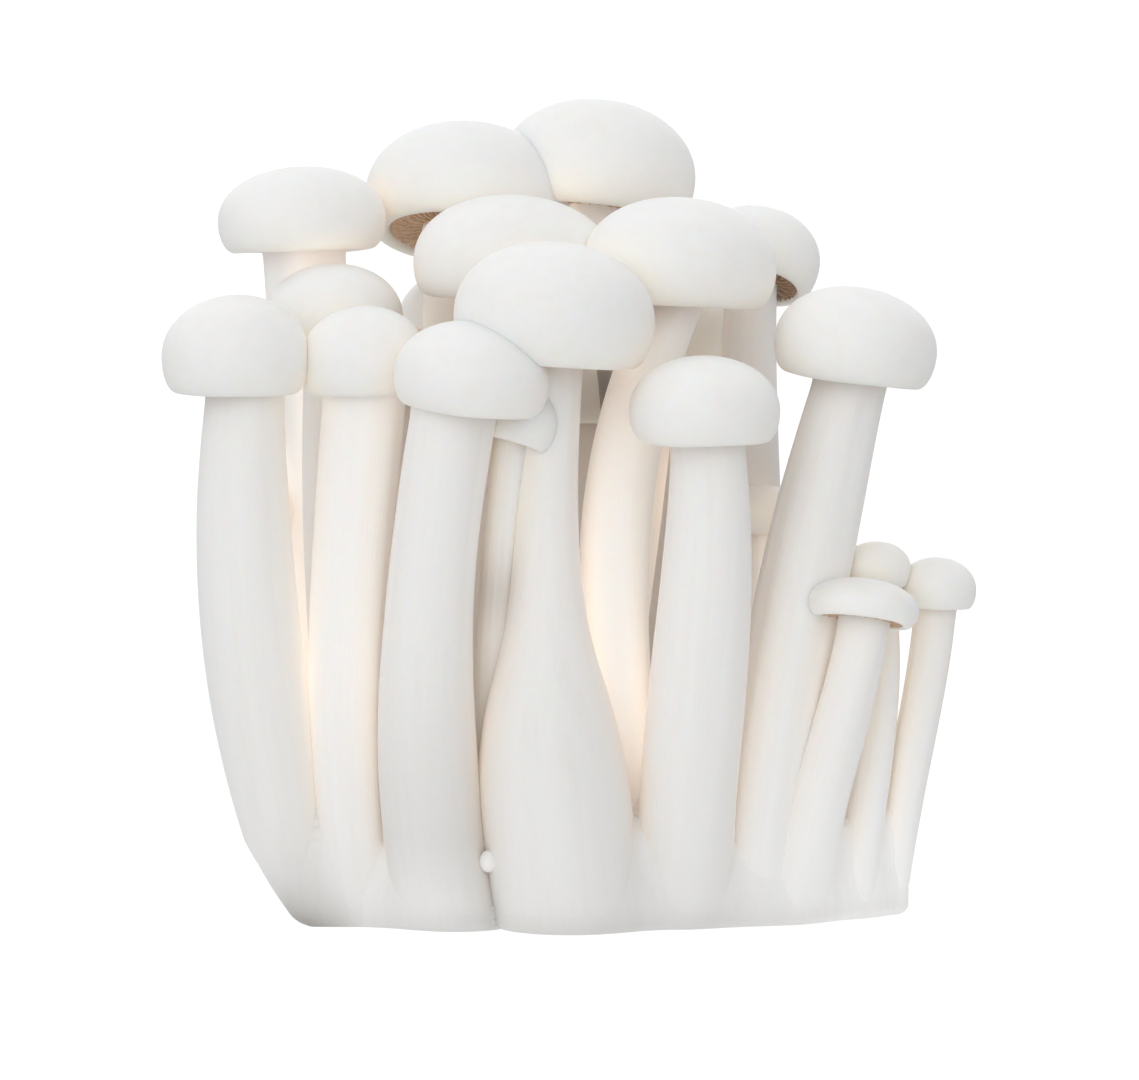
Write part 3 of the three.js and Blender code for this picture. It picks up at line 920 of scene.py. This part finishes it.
def makeBase():
    low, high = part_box("base")
    centre = np.array([(low.x + high.x) / 2, (low.y + high.y) / 2]) / mm
    sides, wallRings = baseShape["sides"], baseShape["wallRings"]
    angle = (np.arange(sides) / sides * turn)[None, :]
    share = np.linspace(0, 1, wallRings)[:, None]
    z = baseShape["high"] * share ** baseShape["lowRings"] + 0 * angle
    depth, height, over = baseShape["drawnBack"]
    inside = depth * np.clip((z - height) / over, 0, 1)
    depth, height, over = baseShape["tuckedIn"]
    inside = inside + depth * np.clip((z - height) / over, 0, 1) ** 2

    def spots(out):
        return centre[0] + out * np.cos(angle), centre[1] + out * np.sin(angle)

    out = np.full((wallRings, sides), float(search["start"]))
    for _ in range(search["rounds"]):
        out = out - search["stride"] * (fleshDistance(*spots(out), z) + inside)
        out = np.clip(out, search["least"], search["most"])

    # round the cut edge, more in some places than in others
    edge = baseShape["edge"] * (1 + sum(share * np.cos(waves * angle + start)
                                        for share, waves, start in baseShape["edgeWaves"]))
    under = np.clip(1 - z / edge, 0, 1)
    out = out - edge * (1 - np.sqrt(1 - under ** 2))
    wall = np.stack([*spots(out), z], -1)
    crowd = crowdedness(wall, outwardOf(wall)) * np.clip(z / stemShape["warmFrom"], 0, 1)

    # the cut face runs out to the wall, and the top runs in over the mound
    outward = (np.arange(1, baseShape["faceRings"]) / baseShape["faceRings"])[:, None]
    x, y = spots(out[:1] * outward)
    face = np.stack([x, y, 0 * x], -1)
    inward = (1 - np.arange(1, baseShape["topRings"]) / baseShape["topRings"])[:, None]
    x, y = spots(out[-1:] * inward)
    uneven, closeX, closeY = baseShape["uneven"]
    mound = baseShape["rise"] * (1 - inward ** 2) + uneven * np.sin(closeX * x + 1) * np.cos(closeY * y)
    top = np.stack([x, y, baseShape["high"] + mound], -1)
    face, wall, top = wornEnd(face), wornEnd(wall), wornEnd(top)
    points, faces = closedSleeve(np.concatenate([face, wall, top]))

    # painted shade on the wall where stems crowd it and all over the mound's top; the cut face keeps its own
    # warm tone
    faceWarm = baseShape["faceWarm"]
    onFace, onTop = face[..., 0].size, top[..., 0].size
    warm = np.concatenate([[faceWarm] * onFace, crowd.ravel(), [1] * onTop, [faceWarm, 1]])
    seep = np.concatenate([[0] * onFace, seepAt(wall, crowd).ravel(), [0] * onTop, [0, 0]])
    # painted shade on the wall; the foot marks in the cut face are its own
    cut = shadeAndGreyAt(points)
    cut[:onFace] = footMarks(face).ravel()
    makePiece("base", points, faces, stemMaterial, "cut_base", ["base"], points,
              warmth=warm, seep=seep, cut=cut)
    return wall[0, :, :2]


baseOutline = makeBase()
print("base made")


# a mushroom that never grew, in the crack between the two front feet

budShape = {
    "at": (-8.1, -22.2, 6.8), "radii": (0.95, 0.9, 1.1),  # mm
    "rings": 16, "sides": 28,
    "poles": 0.96,  # its end rings lie just short of its poles
    "warm": 0.1, "cut": 0.15,
}


def makeBud():
    up = np.linspace(-quarter, quarter, budShape["rings"])[:, None] * budShape["poles"]
    around = (np.arange(budShape["sides"]) / budShape["sides"] * turn)[None, :]
    ball = np.stack([np.cos(up) * np.cos(around), np.cos(up) * np.sin(around), np.sin(up) + 0 * around], -1)
    points, faces = closedSleeve(ball * budShape["radii"] + budShape["at"])
    makePiece("bud", points, faces, stemMaterial, "stems", (), points,
              warmth=budShape["warm"], seep=0, cut=budShape["cut"])


makeBud()
print("bud made")


# the setting

setting = {
    "aim": (-0.19, -1.5, 36.9),  # mm
    "distance": 900,
    "elevation": 4,  # degrees
    "frameWidth": 113.9,  # mm across the view at the aim
    "sensor": 36,
    "clip": (0.05, 50),  # metres
    "behind": 1.1,  # brightness of the plain white in view
    "sky": 0.6,  # and of the sky that lights the bunch
    # three suns: strength, softness, degrees round from the front, degrees up
    "suns": {"front": (0.56, 70, 0, 10), "left": (0.5, 80, -50, 30), "back": (0.9, 90, 180, 48)},
    "tint": (0.985, 0.995, 1),
    "glow": (1.0, 1.01, 1.02),  # the floor is a lit table
    "table": 50,  # mm, its radius
    "tableTop": (0.05, 0.05, 0.05), "tableRough": 0.9,
}


def makeCamera():
    lift = math.radians(setting["elevation"])
    back = Vector((0, -math.cos(lift), math.sin(lift)))
    data = bpy.data.cameras.new("camera")
    data.sensor_width = setting["sensor"]
    data.lens = setting["sensor"] * setting["distance"] / setting["frameWidth"]
    data.clip_start, data.clip_end = setting["clip"]
    camera = bpy.data.objects.new("camera", data)
    camera.location = (Vector(setting["aim"]) + back * setting["distance"]) * mm
    camera.rotation_euler = back.to_track_quat("Z", "Y").to_euler()
    bpy.context.scene.collection.objects.link(camera)
    bpy.context.scene.camera = camera


def makeLight():
    world = bpy.data.worlds.new("studio")
    world.use_nodes = True
    bpy.context.scene.world = world
    tree = world.node_tree
    tree.nodes.clear()
    seen = tree.nodes.new("ShaderNodeBackground")
    seen.inputs["Color"].default_value = (1, 1, 1, 1)
    seen.inputs["Strength"].default_value = setting["behind"]
    light = tree.nodes.new("ShaderNodeBackground")
    light.inputs["Color"].default_value = (*setting["tint"], 1)
    light.inputs["Strength"].default_value = setting["sky"]
    mix = tree.nodes.new("ShaderNodeMixShader")
    ray = tree.nodes.new("ShaderNodeLightPath")
    end = tree.nodes.new("ShaderNodeOutputWorld")
    tree.links.new(ray.outputs["Is Camera Ray"], mix.inputs["Fac"])
    tree.links.new(light.outputs[0], mix.inputs[1])
    tree.links.new(seen.outputs[0], mix.inputs[2])
    tree.links.new(mix.outputs[0], end.inputs["Surface"])

    for name, (strength, softness, around, above) in setting["suns"].items():
        around, above = math.radians(around), math.radians(above)
        data = bpy.data.lights.new(name, "SUN")
        data.energy = strength
        data.angle = math.radians(softness)
        data.color = setting["tint"]
        sun = bpy.data.objects.new(name, data)
        level = math.cos(above)
        towards = Vector((math.sin(around) * level, -math.cos(around) * level, math.sin(above)))
        sun.rotation_euler = towards.to_track_quat("Z", "Y").to_euler()
        bpy.context.scene.collection.objects.link(sun)


def makeFloor():
    # a ring that ends at the foot, so that the cut face stays in sight from below
    mesh = bpy.data.meshes.new("floor")
    outward = baseOutline - baseOutline.mean(0)
    outward /= np.linalg.norm(outward, axis=1, keepdims=True)
    rings = np.stack([baseOutline, outward * setting["table"]])
    points = np.concatenate([rings, 0 * rings[..., :1]], -1).reshape(-1, 3) * mm
    mesh.from_pydata(points.tolist(), [], gridFaces(2, len(baseOutline)).tolist())
    floor = bpy.data.objects.new("floor", mesh)
    bpy.context.scene.collection.objects.link(floor)
    material, tree, shader = newMaterial("floor")
    shader.inputs["Base Color"].default_value = (*setting["tableTop"], 1)
    shader.inputs["Roughness"].default_value = setting["tableRough"]
    shader.inputs["Specular IOR Level"].default_value = 0
    shader.inputs["Emission Color"].default_value = (*setting["glow"], 1)
    shader.inputs["Emission Strength"].default_value = 1
    mesh.materials.append(material)


makeCamera()
makeLight()
makeFloor()
bpy.context.scene.view_settings.view_transform = "Standard"
print("setting made")
